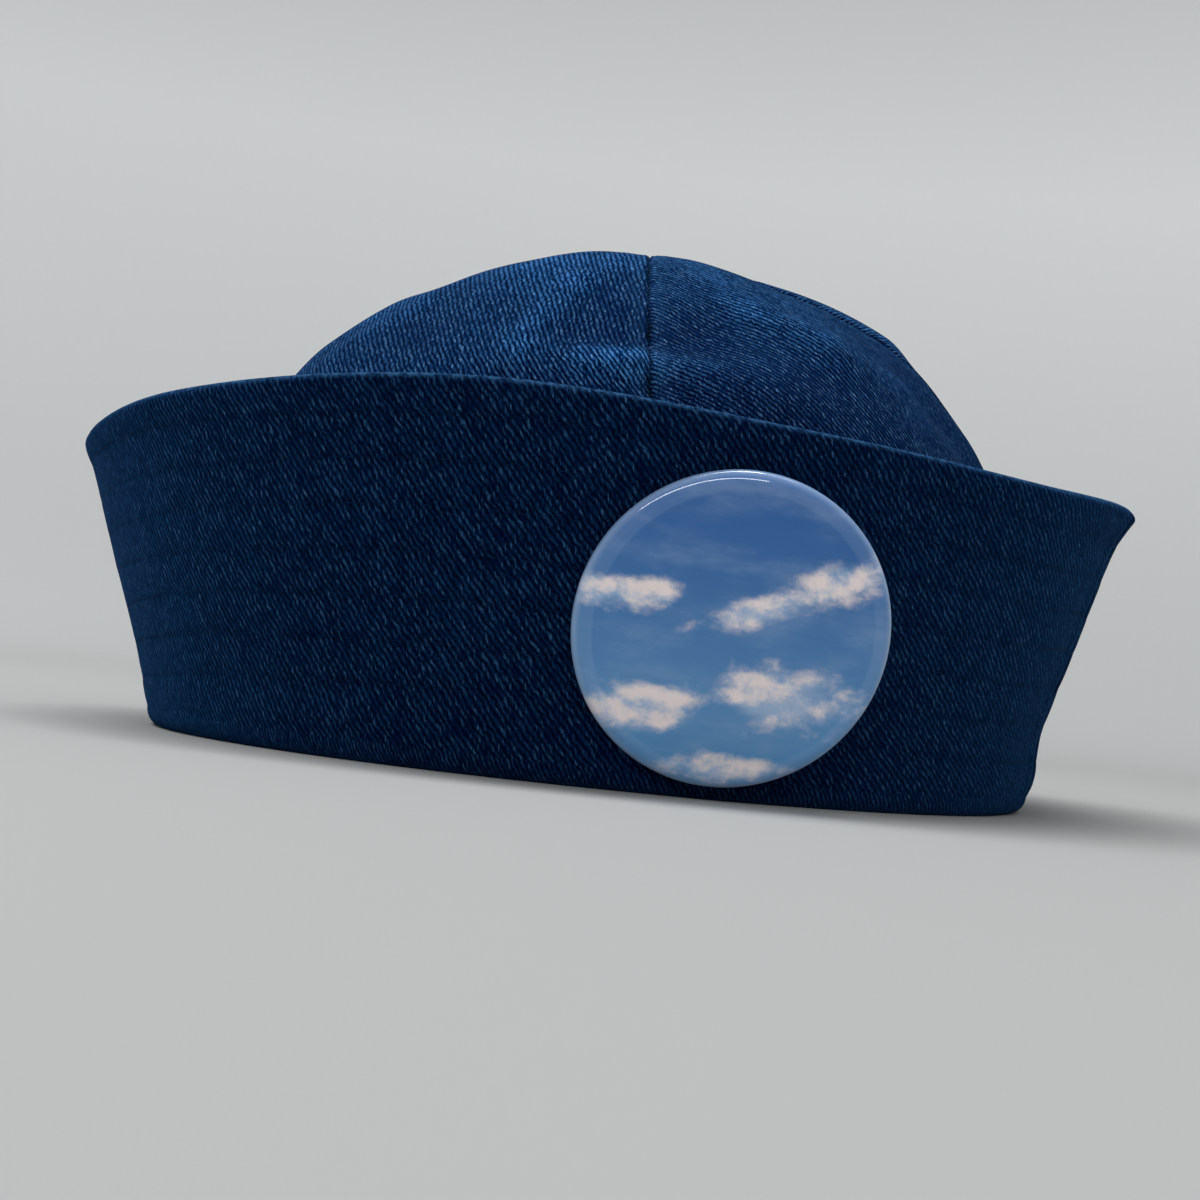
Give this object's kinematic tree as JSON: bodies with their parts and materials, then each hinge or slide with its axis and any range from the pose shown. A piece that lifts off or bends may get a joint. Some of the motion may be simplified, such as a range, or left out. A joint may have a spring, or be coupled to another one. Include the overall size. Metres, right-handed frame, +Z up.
{
  "type": "sailor cap",
  "caption": "Denim sailor cap with a domed panelled crown, a tall flared turned-up brim and a round button badge pinned to the brim.",
  "frame": {"origin": "middle of the bounding box at its base, on the surface that the fold of the brim rests on", "axes": "-Y toward the wearer's front, +X toward the wearer's left, +Z up through the crown; the badge is on the front left of the brim"},
  "size_m": [0.2212, 0.2496, 0.1172],
  "materials": {
    "brim_denim": "dark indigo twill, matte, with rows of tonal stitching",
    "crown_denim": "washed indigo twill, matte",
    "badge_film": "clear gloss film over a printed sky",
    "badge_steel": "plain bright steel"
  },
  "bodies": {
    "root": {"brim": "brim_denim", "crown_gore_front": "crown_denim", "crown_gore_left": "crown_denim", "crown_gore_back": "crown_denim", "crown_gore_right": "crown_denim", "badge_shell": "badge_film", "badge_back": "badge_steel", "badge_pin": "badge_steel"}
  },
  "joints": []
}
